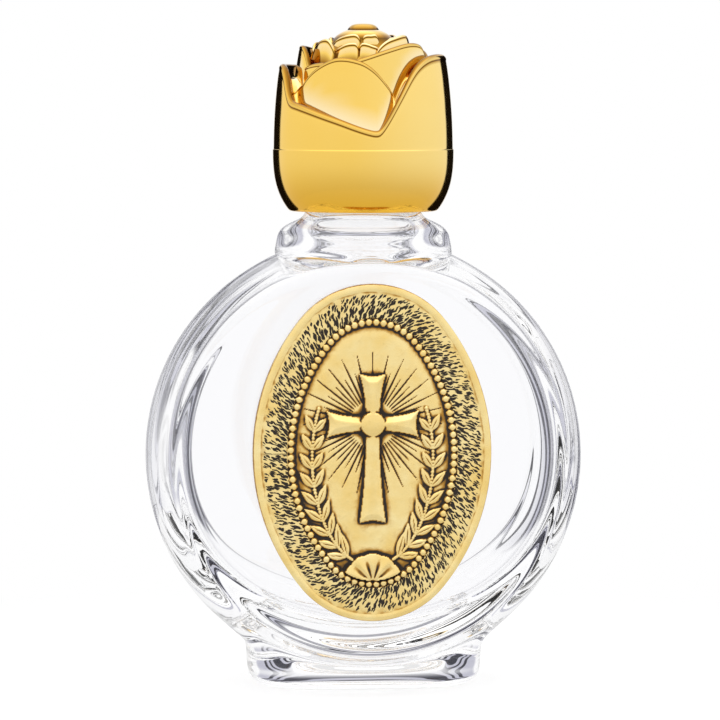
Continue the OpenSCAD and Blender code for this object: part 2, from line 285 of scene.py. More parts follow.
def disc_cage(name, loops):
    """A round flat cage about Y, drawn out from its widest ring to a panel on each side."""
    gain = ring_gain(DISC_COLUMNS)
    begin()
    bpy.ops.mesh.primitive_circle_add(
        vertices=DISC_COLUMNS, radius=loops[0][0] * gain,
        location=(0, 0, BODY_Z), rotation=(math.pi / 2, 0, 0))
    piece = bpy.context.object
    piece.name = name
    bpy.ops.object.transform_apply(location=True, rotation=True, scale=True)
    bpy.ops.object.mode_set(mode="EDIT")
    for side in (-1, 1):
        pick(piece, "EDGE", lambda edge: all(abs(point.co.y) < 0.01 for point in edge.verts))
        for radius, depth in loops[1:]:
            def to_loop(co):
                out = Vector((co.x, 0, co.z - BODY_Z)).normalized() * radius * gain
                return Vector((out.x, side * depth, BODY_Z + out.z))
            pull(piece, to_loop)
        bpy.ops.mesh.edge_face_add()
    return piece


def open_patch(piece, up, columns, depth):
    """Cuts a patch out of the disc's top or bottom, some columns wide and as deep as a loop's distance."""
    reach = math.radians(360 / DISC_COLUMNS * columns / 2)

    def in_patch(face):
        middle = face.calc_center_median()
        turn = math.atan2(abs(middle.x), up * (middle.z - BODY_Z))
        return turn < reach and abs(middle.y) < depth

    pick(piece, "FACE", in_patch)
    bpy.ops.mesh.delete(type="FACE")


def bridge_ring(piece, radius, height, shape=None):
    """Adds a ring at the height, bridges the nearest opening to it and leaves it selected."""
    bpy.ops.mesh.primitive_circle_add(
        vertices=RING_POINTS, radius=radius * ring_gain(RING_POINTS), location=(0, 0, height))
    if shape:
        move(piece, shape)
    above = height > BODY_Z

    def on_opening(edge):
        middle = (edge.verts[0].co.z + edge.verts[1].co.z) / 2
        return edge.is_wire or (edge.is_boundary and (middle > BODY_Z) == above)

    pick(piece, "EDGE", on_opening)
    bpy.ops.mesh.bridge_edge_loops()
    near = FOOT_SIDE_RISE + 0.01 if shape else 0.01
    reach = abs(height - BODY_Z) - near

    def on_ring(edge):
        return edge.is_boundary and all(
            abs(p.co.z - height) < near and abs(p.co.z - BODY_Z) > reach for p in edge.verts)

    pick(piece, "EDGE", on_ring)


def raise_rings(piece, rings):
    """Draws the selected ring up through round rings of the radii and heights given."""
    gain = ring_gain(RING_POINTS)
    for radius, height in rings:
        def to_ring(co):
            out = Vector((co.x, co.y, 0)).normalized() * radius * gain
            return Vector((out.x, out.y, height))
        pull(piece, to_ring)


def foot_point(co):
    """Puts a point of the round ring on the foot's rounded outline."""
    step = round(math.degrees(math.atan2(abs(co.x), abs(co.y))) / (360 / RING_POINTS))
    across, deep = FOOT_QUARTER[step]
    spare = FOOT_RINGS[0][0]
    x = math.copysign(across * (FOOT_HALF_X + spare), co.x)
    y = math.copysign(deep * (FOOT_HALF_Y + spare), co.y)
    return Vector((x, y, co.z + FOOT_SIDE_RISE * across ** 3))


def cut_thread(piece):
    """Raises the screw ridge on the neck by moving its points out along the helix."""
    points = read_points(piece)
    radius = np.hypot(points[:, 0], points[:, 1])
    turn = np.arctan2(points[:, 1], points[:, 0]) / (2 * math.pi)
    along = (points[:, 2] - THREAD_START) / THREAD_PITCH - turn
    nearest = np.round(along)
    off = np.abs(along - nearest) * THREAD_PITCH
    run = nearest + turn
    ends = np.clip(np.minimum(run, THREAD_TURNS - run) / THREAD_FADE + 0.5, 0, 1)
    on_neck = (np.abs(radius - THREAD_ROOT_R) < 0.15) & (points[:, 2] > COLLAR_TOP + 3)
    rise = THREAD_RISE * np.clip((THREAD_HALF - off) / THREAD_FLANK, 0, 1) * ends * on_neck
    points[:, :2] *= ((radius + rise) / np.maximum(radius, 1e-6))[:, None]
    write_points(piece, points)


def thick_base(co):
    """Lifts the cavity's bottom and narrows it, where the glass runs together in the mould."""
    low = min(max((BODY_Z - BASE_START - co.z) / BASE_REACH, 0), 1)
    return Vector((co.x, co.y * (1 - BASE_NARROW * low ** 2), co.z + CAVITY_LIFT + BASE_RISE * low ** 2))


def make_bottle():
    """The outside with neck and foot, and the cavity with its bore, joined at the rim into one skin."""
    outside = disc_cage("glass_bottle_shell", BODY_LOOPS)
    open_patch(outside, 1, NECK_COLUMNS, BODY_LOOPS[3][1])
    bridge_ring(outside, *NECK_RINGS[0])
    raise_rings(outside, NECK_RINGS[1:])
    open_patch(outside, -1, FOOT_COLUMNS, BODY_LOOPS[2][1])
    bridge_ring(outside, FOOT_HALF_Y, FOOT_RINGS[0][1], foot_point)
    last = FOOT_RINGS[0][0]
    for spare, height in FOOT_RINGS[1:]:
        share = ((FOOT_HALF_X + spare) / (FOOT_HALF_X + last), (FOOT_HALF_Y + spare) / (FOOT_HALF_Y + last))
        pull(outside, lambda co: Vector((co.x * share[0], co.y * share[1], height)))
        last = spare
    bpy.ops.mesh.edge_face_add()
    bpy.ops.object.mode_set(mode="OBJECT")
    cavity = disc_cage("bottle_cavity", CAVITY_LOOPS)
    bpy.ops.mesh.select_all(action="SELECT")
    move(cavity, thick_base)
    open_patch(cavity, 1, NECK_COLUMNS, CAVITY_LOOPS[3][1])
    bridge_ring(cavity, *BORE_RINGS[0])
    raise_rings(cavity, BORE_RINGS[1:])
    bpy.ops.object.mode_set(mode="OBJECT")
    bottle = join([outside, cavity], "bottle_glass")
    bpy.ops.object.mode_set(mode="EDIT")
    pick(bottle, "EDGE", lambda edge: edge.is_boundary)
    bpy.ops.mesh.bridge_edge_loops()
    face_outwards()
    apply_modifier(bottle, "SUBSURF", levels=3, render_levels=3)
    cut_thread(bottle)
    return bottle


# Rose cap

# The rose is turned a little, so that its open petal faces the camera; turns below are from there towards +X.
ROSE_TURN = -4.8
# The outer petals' edge all round: turn, height above the parting line where the lip starts to round over.
CUP_EDGE = [
    (-180, 8.9), (-170, 8.4), (-160, 7.0), (-155, 6.5), (-150, 7.2), (-142, 8.5), (-130, 9.6), (-115, 9.85),
    (-88, 9.9), (-76, 9.7), (-70, 9.0), (-66, 8.1), (-62.5, 7.0), (-59.5, 6.0), (-56, 5.4), (-49, 5.05),
    (-39, 4.55), (-27, 3.85), (-15, 3.1), (-5, 2.4), (5, 1.8), (10, 1.65), (12.5, 2.1), (18, 3.7), (24, 5.6),
    (35, 8.7), (41, 9.8), (50, 10.65), (60, 11.0), (72, 11.1), (90, 10.95), (100, 10.7), (110, 10.1),
    (120, 9.0), (130, 7.2), (138, 5.6), (143, 5.5), (150, 6.8), (160, 8.3), (170, 8.9), (180, 8.9)
]
# A petal's edge in section: inwards, up from the crease where it starts, and how dark its painted shade is
# drawn.
LIP = [
    (0, -0.16, 0), (0.05, 0, 1), (0, 0.13, 0.05), (0.06, 0.3, 0.25), (0.2, 0.48, 0.6), (0.4, 0.56, 0.8),
    (0.58, 0.5, 0.8), (0.7, 0.34, 0.6), (0.78, 0.08, 0.6), (0.86, -0.25, 0.6)
]
CUP_LIP_SIZE = 1.3
PETAL_LIP_SIZE = 0.8
SMALL_LIP_SIZE = 0.6
# Behind its lip a petal falls away in two rows, each this much further in and down, times the lip's size.
BACK_ROWS = 2
BACK_IN = 0.25
BACK_DOWN = 0.8
# A petal's sheet has this many rows, and ends this far under the crease, times the lip's size.
SHEET_ROWS = 6
SHEET_GAP = 0.3
# A petal has at least this many columns, or one for each such arc, in degrees times millimetres.
FEWEST_COLUMNS = 18
COLUMN_ARC = 21
# Where the large petals rise out of the outer ones, a painted highlight draws the gold pale over this height.
PALE_RISE = 3.2
# Petals end in a quarter round of this radius, flare at the foot if large, and lean in by this power.
END_ROUND = 0.8
FLARE = 0.5
FLARE_RISE = 5.0
LEAN_CURVE = 1.5
# Inner petals: name, crease line as turn and height, radius at the top, radius at the base, base height.
PETALS = [
    ("front", [(-72, 5.9), (-68, 6.6), (-60, 7.3), (-53, 7.9), (-45, 9.0), (-35, 10.0), (-25, 10.7),
               (-19, 10.9), (-12, 10.85), (-5, 10.6), (1, 10.25), (10, 9.2), (17, 7.95), (22.5, 6.8),
               (27, 5.6)], 9.3, 9.8, 0.8),
    ("right", [(-14, 9.9), (-6, 10.6), (2, 11.0), (7, 11.25), (17, 11.75), (27, 12.2), (36, 12.55),
               (44, 12.7), (51, 12.65), (56, 12.45), (60, 11.9), (64, 11.0), (68, 10.0)], 8.7, 9.0, 3.0),
    ("left", [(-146, 10.2), (-138, 11.2), (-128, 12.0), (-112, 12.4), (-90, 12.45), (-77, 12.45), (-69, 12.1),
              (-64, 11.3), (-60, 10.0), (-57, 8.8)], 8.0, 9.1, 3.0),
    ("low_left", [(-80, 8.6), (-70, 9.4), (-60, 9.9), (-48, 10.2), (-38, 10.3), (-30, 10.0)], 8.2, 8.9, 3.0),
    ("back_right", [(84, 9.6), (94, 11.0), (106, 11.8), (120, 12.1), (140, 11.8), (154, 10.4)],
     8.2, 9.2, 3.0),
    ("back_left", [(144, 10.2), (156, 11.8), (180, 12.4), (198, 12.2), (212, 11.4), (222, 10.2)],
     8.3, 9.0, 3.0),
    ("second_right", [(14, 11.0), (18, 12.0), (23, 12.6), (31, 13.15), (42, 13.5), (52, 13.75), (60, 13.85),
                      (66, 13.75), (71, 13.3), (76, 12.4), (80, 11.4)], 6.0, 6.9, 8.0),
    ("second_left", [(-92, 10.8), (-84, 11.8), (-74, 12.4), (-62, 13.05), (-50, 13.35), (-43, 13.2),
                     (-38, 12.4), (-34, 11.0)], 6.3, 7.0, 8.0),
    ("second_back_right", [(84, 10.8), (96, 12.3), (112, 13.0), (138, 13.0), (156, 11.8)], 6.2, 6.9, 8.0),
    ("second_back", [(146, 11.6), (160, 12.9), (185, 13.4), (210, 13.2), (230, 11.8)], 6.2, 6.9, 8.0),
    ("second_back_left", [(218, 11.4), (234, 12.8), (250, 13.0), (262, 12.6), (272, 11.4)], 6.4, 7.0, 8.0),
    ("middle_left", [(-46, 10.6), (-40, 11.8), (-30, 12.45), (-20, 12.8), (-11, 12.85), (-7.5, 12.6),
                     (-5, 11.8), (-3, 10.6)], 5.5, 6.2, 9.0),
    ("middle_right", [(-9, 10.8), (-6.5, 12.1), (-3, 12.75), (4, 12.8), (12, 12.55), (20, 12.3), (25, 11.8),
                      (30, 10.6)], 5.3, 6.0, 9.0),
    ("inner_left", [(-78, 11.8), (-66, 12.8), (-54, 13.3), (-40, 13.65), (-28, 13.85), (-14, 13.95),
                    (-8, 13.7), (-3, 12.9), (1, 12.0)], 4.2, 4.9, 10.0),
    ("inner_right", [(-6, 12.4), (-2, 13.4), (4, 13.8), (14, 13.85), (26, 13.8), (31, 13.2), (36, 12.2)],
     4.0, 4.7, 10.0),
    ("inner_back_right", [(38, 12.2), (50, 13.2), (82, 13.6), (110, 13.9), (132, 13.9), (146, 13.0)],
     4.2, 4.9, 10.0),
    ("inner_back", [(136, 13.0), (156, 14.1), (180, 14.4), (205, 14.2), (225, 13.8), (246, 12.6)],
     3.8, 4.6, 10.0),
    ("inner_back_left", [(236, 12.6), (252, 13.6), (268, 13.6), (282, 13.2), (294, 12.0)], 4.3, 4.9, 10.0)
]
SMALL_PETALS = ("middle", "inner", "second")
# Painted shade of a small petal, from its foot up to the crease and then round its lip; below 0 a painted
# highlight.
SMALL_TINTS = (1, 1, 1, 0.8, 0.35, -0.25, -0.5, 0.6, 1, 0.5, -0.6, -0.6, -0.2, 0.5, 0.7, 0.6, 0.5, 0.5, 0.5)
# A small petal's rounded ends get painted shade this dark.
SMALL_END_TINT = 0.9
# The filled heart under the petals, from its edge to the middle: radius, height, tint, which is painted shade
# above 0 and a painted highlight below it.
HEART = [
    (9.4, 8.6, -0.8), (8.6, 8.8, -0.8), (7.6, 9.6, -0.8), (6.6, 10.6, 0.4), (5.6, 11.3, 0.5),
    (4.4, 12.6, 0.6), (3.7, 13.85, 0.9), (3.0, 14.35, 0.2), (2.2, 14.75, -0.5), (1.5, 14.95, 0)
]
# Past this radius the heart stays this far under the outer petals' edge.
HEART_OPEN_R = 7
HEART_UNDER = 0.5
# The bud's foot, and its rings upwards: radius, distance below the cap's top, and the tint of its painted
# shade.
BUD_COLUMNS = 32
BUD_FOOT_R = 2.1
BUD_FOOT = 12
BUD_RINGS = [(2.2, 1.3, 0.2), (2.0, 0.8, 1), (1.8, 0.5, 0.5), (1.5, 0.2, 0.3), (1.0, 0.05, 0.1), (0.45, 0, 0)]
# The shell's columns, the heights of the bowl's rings above its edge, and the outer petals' rings as shares.
SHELL_COLUMNS = 120
BOWL_STEPS = (0.12, 0.5, 1.2, 2.2, 3.4, 4.8, 6.2, 7.2, 7.6)
CUP_SHARES = (0.2, 0.42, 0.64, 0.84)


def smooth_line(points, at):
    """A smooth curve through listed points, read at the turns given."""
    xs = np.array([p[0] for p in points], float)
    ys = np.array([p[1] for p in points], float)
    steps = np.diff(ys) / np.diff(xs)
    slope = np.concatenate([steps[:1], (steps[1:] + steps[:-1]) / 2, steps[-1:]])
    flat = np.concatenate([[False], steps[1:] * steps[:-1] <= 0, [False]])
    slope[flat] = 0
    spot = np.clip(np.searchsorted(xs, at, side="right") - 1, 0, len(xs) - 2)
    width = xs[spot + 1] - xs[spot]
    t = np.clip((at - xs[spot]) / width, 0, 1)
    return (ys[spot] * (1 + 2 * t) * (1 - t) ** 2 + slope[spot] * width * t * (1 - t) ** 2
            + ys[spot + 1] * t * t * (3 - 2 * t) - slope[spot + 1] * width * t * t * (1 - t))


def turn_of(co):
    """Turn of a point about the neck's axis, from the front towards +X, in degrees."""
    return math.degrees(math.atan2(co.x, -co.y))


def round_point(turn, radius, height):
    """A point at a turn, a radius and a height."""
    angle = math.radians(turn)
    return Vector((radius * math.sin(angle), -radius * math.cos(angle), height))


def cup_r(rise):
    """Radius of the outer petals at a height above the parting line."""
    return CAP_R - PARTING_STEP - PETAL_LEAN * (rise / PETAL_TIP) ** 2


def tint_selected(piece, amount):
    """Marks the painted shade of the selected points; below 0 they get a painted highlight, paler than plain
    gold.
    """
    cage = bmesh.from_edit_mesh(piece.data)
    layer = cage.verts.layers.float.get("tint") or cage.verts.layers.float.new("tint")
    for point in cage.verts:
        if point.select:
            point[layer] = amount


def round_start(columns, radius, height):
    """A flat disc at the height, ready to be drawn on from its edge."""
    begin()
    bpy.ops.mesh.primitive_circle_add(
        vertices=columns, radius=radius, fill_type="NGON", location=(0, 0, height))
    piece = bpy.context.object
    bpy.ops.object.transform_apply(location=True, rotation=True, scale=True)
    bpy.ops.object.mode_set(mode="EDIT")
    pick(piece, "EDGE", lambda edge: True)
    return piece


def cap_shell():
    """The bowl below the parting line, the outer petals and the filled heart, in one closed skin."""
    piece = round_start(SHELL_COLUMNS, SOCKET_R, SOCKET_TOP)
    drop = PARTING_Z - CAP_BOTTOM
    draw_in = CAP_R - CAP_EDGE_R
    rings = [(SOCKET_R, SOCKET_TOP - 0.3), (SOCKET_R, CAP_BOTTOM + 6), (SOCKET_R, CAP_BOTTOM + 0.4),
             (SOCKET_R + 0.15, CAP_BOTTOM + 0.08), (SOCKET_R + 0.4, CAP_BOTTOM),
             (CAP_EDGE_R - 0.1, CAP_BOTTOM)]
    for height in BOWL_STEPS:
        rings.append((CAP_R - draw_in * (1 - height / drop) ** 3, CAP_BOTTOM + height))
    rings += [(CAP_R, PARTING_Z - 0.02), (cup_r(0), PARTING_Z + 0.02), (cup_r(0), PARTING_Z + 0.15)]
    for radius, height in rings:
        pull(piece, lambda co: round_point(turn_of(co), radius, height))

    def edge_height(co):
        turn = (turn_of(co) - ROSE_TURN + 180) % 360 - 180
        return float(smooth_line(CUP_EDGE, np.array([turn]))[0])

    for share in CUP_SHARES:
        pull(piece, lambda co: round_point(
            turn_of(co), cup_r(share * edge_height(co)), PARTING_Z + share * edge_height(co)))
    for inward, up, tint in LIP:
        pull(piece, lambda co: round_point(
            turn_of(co), cup_r(edge_height(co)) - inward * CUP_LIP_SIZE,
            PARTING_Z + edge_height(co) + up * CUP_LIP_SIZE))
        tint_selected(piece, tint)
    for radius, height, tint in HEART:
        def to_heart(co):
            top = min(edge_height(co) - HEART_UNDER, height) if radius > HEART_OPEN_R else height
            return round_point(turn_of(co), radius, PARTING_Z + top)
        pull(piece, to_heart)
        tint_selected(piece, tint)
    bpy.ops.mesh.edge_face_add()
    face_outwards()
    apply_modifier(piece, "SUBSURF", levels=1, render_levels=1)
    return piece


def petal(name, line, top_r, base_r, base):
    """A petal: a sheet that leans in to its top, rounds over in a lip and falls away behind it."""
    first = line[0][0]
    last = line[-1][0]
    columns = max(FEWEST_COLUMNS, round((last - first) * top_r / COLUMN_ARC))
    half = math.radians(last - first) / 2 * top_r
    small = name.startswith(SMALL_PETALS)
    size = SMALL_LIP_SIZE if small else PETAL_LIP_SIZE
    lip_end = SHEET_ROWS + len(LIP)
    rows = lip_end + BACK_ROWS
    begin()
    bpy.ops.mesh.primitive_grid_add(x_subdivisions=columns, y_subdivisions=rows, size=2)
    piece = bpy.context.object
    piece.name = name
    bpy.ops.object.mode_set(mode="EDIT")
    cage = bmesh.from_edit_mesh(piece.data)
    layer = cage.verts.layers.float.new("tint")
    for point in cage.verts:
        across = math.sin(point.co.x * math.pi / 2)
        turn = first + (last - first) * (across + 1) / 2
        step = round((point.co.y + 1) / 2 * rows)
        crease = float(smooth_line(line, np.array([turn]))[0])
        beyond = max(0, abs(across) - 1 + END_ROUND / half) * half / END_ROUND
        edge = top_r - END_ROUND * (1 - math.sqrt(max(0, 1 - beyond ** 2)))
        if step <= SHEET_ROWS:
            height = base + (crease - SHEET_GAP * size - base) * (step / SHEET_ROWS)
            flare = 0 if small else FLARE * max(0, 1 - (height - base) / FLARE_RISE) ** 2
            radius = base_r + flare + (edge - base_r) * ((height - base) / (crease - base)) ** LEAN_CURVE
            outer = float(smooth_line(CUP_EDGE, np.array([(turn + 180) % 360 - 180]))[0])
            # Painted highlight: the gold is drawn pale where a large petal rises out of the outer ones.
            tint = -min(max(1 - (height - outer) / PALE_RISE, 0), 1)
        else:
            inward, up, tint = LIP[min(step, lip_end) - SHEET_ROWS - 1]
            behind = max(step - lip_end, 0)
            radius = edge - (inward + BACK_IN * behind) * size
            height = crease + (up - BACK_DOWN * behind) * size
        if small:
            tint = SMALL_END_TINT if beyond > 0.5 else SMALL_TINTS[step]
        point[layer] = tint
        point.co = round_point(turn + ROSE_TURN, radius, PARTING_Z + height)
    bmesh.update_edit_mesh(piece.data)
    bpy.ops.object.mode_set(mode="OBJECT")
    apply_modifier(piece, "SOLIDIFY", thickness=PETAL_THICK, offset=-1)
    apply_modifier(piece, "SUBSURF", levels=1, render_levels=1)
    return piece


def bud():
    """The closed bud at the top."""
    piece = round_start(BUD_COLUMNS, BUD_FOOT_R, PARTING_Z + BUD_FOOT)
    for radius, below, tint in BUD_RINGS:
        pull(piece, lambda co: round_point(turn_of(co), radius, CAP_TOP - below))
        tint_selected(piece, tint)
    bpy.ops.mesh.edge_face_add()
    face_outwards()
    apply_modifier(piece, "SUBSURF", levels=2, render_levels=2)
    return piece


def make_rose_cap():
    """The shell with its outer petals, the inner petals set in it, and the bud, as one moulding."""
    pieces = [cap_shell()]
    for row in PETALS:
        pieces.append(petal(*row))
    pieces.append(bud())
    return join(pieces, "rosebud_cap")


# Medallion

OVAL_UP = PLATE_HALF_Z - OVAL_END_R
OVAL_SIDE_X = (OVAL_UP ** 2 - (PLATE_HALF_X - OVAL_END_R) ** 2) / (2 * (PLATE_HALF_X - OVAL_END_R))
OVAL_SIDE_R = OVAL_SIDE_X + PLATE_HALF_X
BORDER_END = RIM_WIDTH + BORDER_WIDTH
FIELD_START = BORDER_END + BEAD_SIZE
# Squares of the face's mesh, across and up.
FACE_COLUMNS = 256
FACE_ROWS = 368
# Heights above the plate: rolled rim, border, its pebbles and their size, ground, and beads above it.
RIM_RISE = 0.36
BORDER_RISE = 0.28
PEBBLE_RISE = 0.03
PEBBLE_SIZE = 1.6
GROUND_RISE = 0.08
BEAD_RISE = 0.42
# The field is dished up by this much over this width, and rays of two lengths are cut into it.
DISH_RISE = 0.1
DISH_WIDTH = 1.4
RAY_LONG = 9.5
RAY_SHORT = 7.0
RAY_HALF = 0.16
RAY_DEPTH = 0.18
# The cross: an arm's half width at its root, how much it flares, how far each reaches, and the boss's radius.
ARM_HALF = 0.85
ARM_FLARE = 0.8
ARM_UP = 6.2
ARM_DOWN = 12.2
ARM_SIDE = 5.7
BOSS_R = 1.5
# The sprays follow an oval of these half sizes, set down a little, with pairs of leaves that lean out.
SPRAY_HALF_X = 7.4
SPRAY_HALF_Z = 13.2
SPRAY_DOWN = 0.6
LEAF_PAIRS = 9
LEAF_LEAN = 0.62
LEAF_HALF = 0.62
STEM_HALF = 0.26
# The scallop: its hinge below the plate's middle, its radius, half the angle that it opens to, and its ribs.
HINGE_DOWN = 15.9
SCALLOP_R = 3.5
SCALLOP_OPEN = 1.32
SCALLOP_RIBS = 11
# Hollows that hold patina: reach in squares of the mesh, and the depth in millimetres that fills with it.
HOLLOWS = [(3, 0.09), (9, 0.3)]
# Pebbles are set out on a tile of this many, and a search for the nearest thing starts this far off.
PEBBLE_TILE = 128
FAR_OFF = 9.0


def oval_reach(across, up):
    """How far the plate's edge is from its middle in a direction."""
    c = np.abs(across)
    s = np.abs(up)
    by_side = -OVAL_SIDE_X * c + np.sqrt(np.maximum(OVAL_SIDE_R ** 2 - (OVAL_SIDE_X * s) ** 2, 0))
    by_end = s * OVAL_UP + np.sqrt(np.maximum(OVAL_END_R ** 2 - (OVAL_UP * c) ** 2, 0))
    on_end = by_side * s * OVAL_SIDE_X > OVAL_UP * (by_side * c + OVAL_SIDE_X)
    return np.where(on_end, by_end, by_side)


def oval_depth(x, z):
    """Distance in from the plate's edge."""
    ax = np.abs(x)
    az = np.abs(z)
    on_end = az * OVAL_SIDE_X > OVAL_UP * (ax + OVAL_SIDE_X)
    from_end = OVAL_END_R - np.hypot(ax, az - OVAL_UP)
    from_side = OVAL_SIDE_R - np.hypot(ax + OVAL_SIDE_X, az)
    return np.where(on_end, from_end, from_side)


def along_oval(x, z, inset):
    """Length along an oval inset from the edge, from the side in each quarter, and the whole quarter's."""
    ax = np.abs(x)
    az = np.abs(z)
    bend = math.atan2(OVAL_UP, OVAL_SIDE_X)
    side_turn = np.clip(np.arctan2(az, ax + OVAL_SIDE_X), 0, bend)
    end_turn = np.clip(np.arctan2(az - OVAL_UP, np.maximum(ax, 1e-9)), bend, math.pi / 2) - bend
    length = side_turn * (OVAL_SIDE_R - inset) + end_turn * (OVAL_END_R - inset)
    whole = bend * (OVAL_SIDE_R - inset) + (math.pi / 2 - bend) * (OVAL_END_R - inset)
    return length, whole


def soft_step(value, low, high):
    """0 below low, 1 above high, and a smooth rise between."""
    t = np.clip((value - low) / (high - low), 0, 1)
    return t * t * (3 - 2 * t)


def hammered(x, z, size, seed):
    """Pebbles of about the size given, as a hammer leaves them: 1 on a pebble, 0 in the gaps."""
    shake = np.random.default_rng(seed)
    offsets = shake.uniform(-0.36, 0.36, (PEBBLE_TILE, PEBBLE_TILE, 2))
    column = np.floor(x / size).astype(int)
    row = np.floor(z / size).astype(int)
    near = np.full(x.shape, FAR_OFF)
    next_near = np.full(x.shape, FAR_OFF)
    for i in (-1, 0, 1):
        for j in (-1, 0, 1):
            spot = offsets[(row + j) % PEBBLE_TILE, (column + i) % PEBBLE_TILE]
            off_x = x / size - (column + i + 0.5 + spot[..., 0])
            off_z = z / size - (row + j + 0.5 + spot[..., 1])
            far = np.hypot(off_x, off_z)
            next_near = np.where(far < near, near, np.minimum(next_near, far))
            near = np.minimum(near, far)
    return soft_step(next_near - near, 0.0, 0.9)


def cross_relief(x, z):
    """A flared cross with a bevelled face and a round boss at the crossing."""
    rise = np.zeros(x.shape)
    up = z - CROSSING_UP
    for along, off, reach in ((up, x, ARM_UP), (-up, x, ARM_DOWN), (x, up, ARM_SIDE), (-x, up, ARM_SIDE)):
        half = ARM_HALF + ARM_FLARE * np.clip(along / reach, 0, 1) ** 2.5
        end = reach - 0.35 * np.cos(off / half * 1.4)
        inside = np.minimum(half - np.abs(off), np.minimum(end - along, along + 1.2))
        rise = np.maximum(rise, np.where(inside > 0, 0.4 + 0.5 * np.clip(inside / 0.75, 0, 1), 0))
    from_boss = np.hypot(x, up)
    boss = 0.75 + 0.4 * np.sqrt(np.clip(1 - (from_boss / BOSS_R) ** 2, 0, 1))
    return np.maximum(rise, np.where(from_boss < BOSS_R, boss, 0))


def leaf_relief(x, z, at, turn, length, width):
    """A pointed leaf with a sunk midrib, from its stalk outwards."""
    along = (x - at[0]) * math.cos(turn) + (z - at[1]) * math.sin(turn)
    off = -(x - at[0]) * math.sin(turn) + (z - at[1]) * math.cos(turn)
    share = np.clip(along / length, 0, 1)
    half = width * np.sin(math.pi * share ** 0.8) * (along > 0) * (along < length)
    inside = np.clip(1 - np.abs(off) / np.maximum(half, 1e-6), 0, 1)
    rib = soft_step(np.abs(off), 0.0, 0.16)
    return np.where(half > 0, 0.5 * np.sqrt(inside) * (0.6 + 0.4 * rib), 0)


def spray_relief(x, z):
    """A leafy spray up each side of the cross, growing from the foot."""
    rise = np.zeros(x.shape)
    ax = np.abs(x)
    for step in range(LEAF_PAIRS):
        t = 0.1 + 0.1 * step
        angle = -1.32 + 1.75 * t
        at = (SPRAY_HALF_X * math.cos(angle), SPRAY_HALF_Z * math.sin(angle) - SPRAY_DOWN)
        grow = math.atan2(SPRAY_HALF_Z * math.cos(angle), -SPRAY_HALF_X * math.sin(angle))
        size = 3.3 - 1.1 * t
        for lean in (-LEAF_LEAN, LEAF_LEAN):
            rise = np.maximum(rise, leaf_relief(ax, z, at, grow + lean, size, LEAF_HALF))
    stem = np.full(x.shape, FAR_OFF)
    for t in np.linspace(0, 1, 60):
        angle = -1.42 + 1.9 * t
        off_x = ax - SPRAY_HALF_X * math.cos(angle)
        off_z = z - SPRAY_HALF_Z * math.sin(angle) + SPRAY_DOWN
        stem = np.minimum(stem, np.hypot(off_x, off_z))
    return np.maximum(rise, 0.42 * np.sqrt(np.clip(1 - (stem / STEM_HALF) ** 2, 0, 1)))


def shell_relief(x, z):
    """A scallop shell at the foot, ribbed from its hinge."""
    up = z + HINGE_DOWN
    far = np.hypot(x, up)
    turn = np.arctan2(x, up)
    edge = SCALLOP_R + 0.16 * np.abs(np.cos(turn * SCALLOP_RIBS / 2))
    inside = (np.abs(turn) < SCALLOP_OPEN) & (far < edge)
    ribs = 0.5 + 0.5 * np.cos(turn * SCALLOP_RIBS)
    dome = np.sqrt(np.clip(1 - ((far - 2.1) / 1.75) ** 2, 0, 1))
    hinge = np.where((np.abs(x) < 1.1) & (np.abs(up) < 0.45), 0.4, 0)
    return np.maximum(np.where(inside, 0.35 + 0.35 * dome + 0.2 * ribs * dome, 0), hinge)


def medallion_relief(x, z):
    """Height of the struck face above the plate, in millimetres."""
    depth = oval_depth(x, z)
    rim_at = RIM_WIDTH / 2
    rim = RIM_RISE * np.sqrt(np.clip(1 - ((depth - rim_at) / (rim_at + 0.25)) ** 2, 0, 1))
    swell = hammered(x + 0.3 * z, z, PEBBLE_SIZE, 11)
    border = (BORDER_RISE + PEBBLE_RISE * swell) * (depth > RIM_WIDTH - 0.05) * (depth < BORDER_END)
    bead_at = BORDER_END + BEAD_SIZE / 2
    length, whole = along_oval(x, z, bead_at)
    count = round(whole / BEAD_SIZE)
    pitch = whole / count
    off = (length / pitch) % 1 - 0.5
    from_bead = np.hypot(off * pitch, depth - bead_at)
    bead = GROUND_RISE + BEAD_RISE * np.sqrt(np.clip(1 - (from_bead / (BEAD_SIZE * 0.5)) ** 2, 0, 1))
    bead = np.where(np.abs(depth - bead_at) < BEAD_SIZE / 2, bead, 0)
    field = depth > FIELD_START
    turn = np.arctan2(x, z - CROSSING_UP)
    far = np.hypot(x, z - CROSSING_UP)
    spoke = turn * RAY_COUNT / (2 * math.pi)
    nearest = np.round(spoke)
    off_line = np.abs(spoke - nearest) * 2 * math.pi / RAY_COUNT * far
    reach = np.where(nearest % 2 == 0, RAY_LONG, RAY_SHORT)
    line = RAY_HALF * np.clip(1.6 * (1 - far / reach), 0, 1) * soft_step(far, 2.6, 3.4)
    groove = np.where(line > 0.02, np.clip(1 - off_line / np.maximum(line * 1.6, 0.02), 0, 1), 0)
    dish = DISH_RISE * soft_step(depth, FIELD_START, FIELD_START + DISH_WIDTH)
    struck = GROUND_RISE + dish - RAY_DEPTH * groove
    for raised in (cross_relief(x, z), spray_relief(x, z), shell_relief(x, z)):
        struck = np.maximum(struck, raised)
    struck = np.where(field, struck, 0)
    for edging in (rim, border, bead):
        struck = np.maximum(struck, edging)
    return struck


def blurred(grid, reach):
    """A grid of heights averaged over a square of neighbours."""
    padded = np.pad(grid, reach, mode="edge")
    total = padded.cumsum(0).cumsum(1)
    total = np.pad(total, ((1, 0), (1, 0)))
    size = 2 * reach + 1
    right = total[size:, size:] - total[:-size, size:]
    left = total[size:, :-size] - total[:-size, :-size]
    return (right - left) / size ** 2


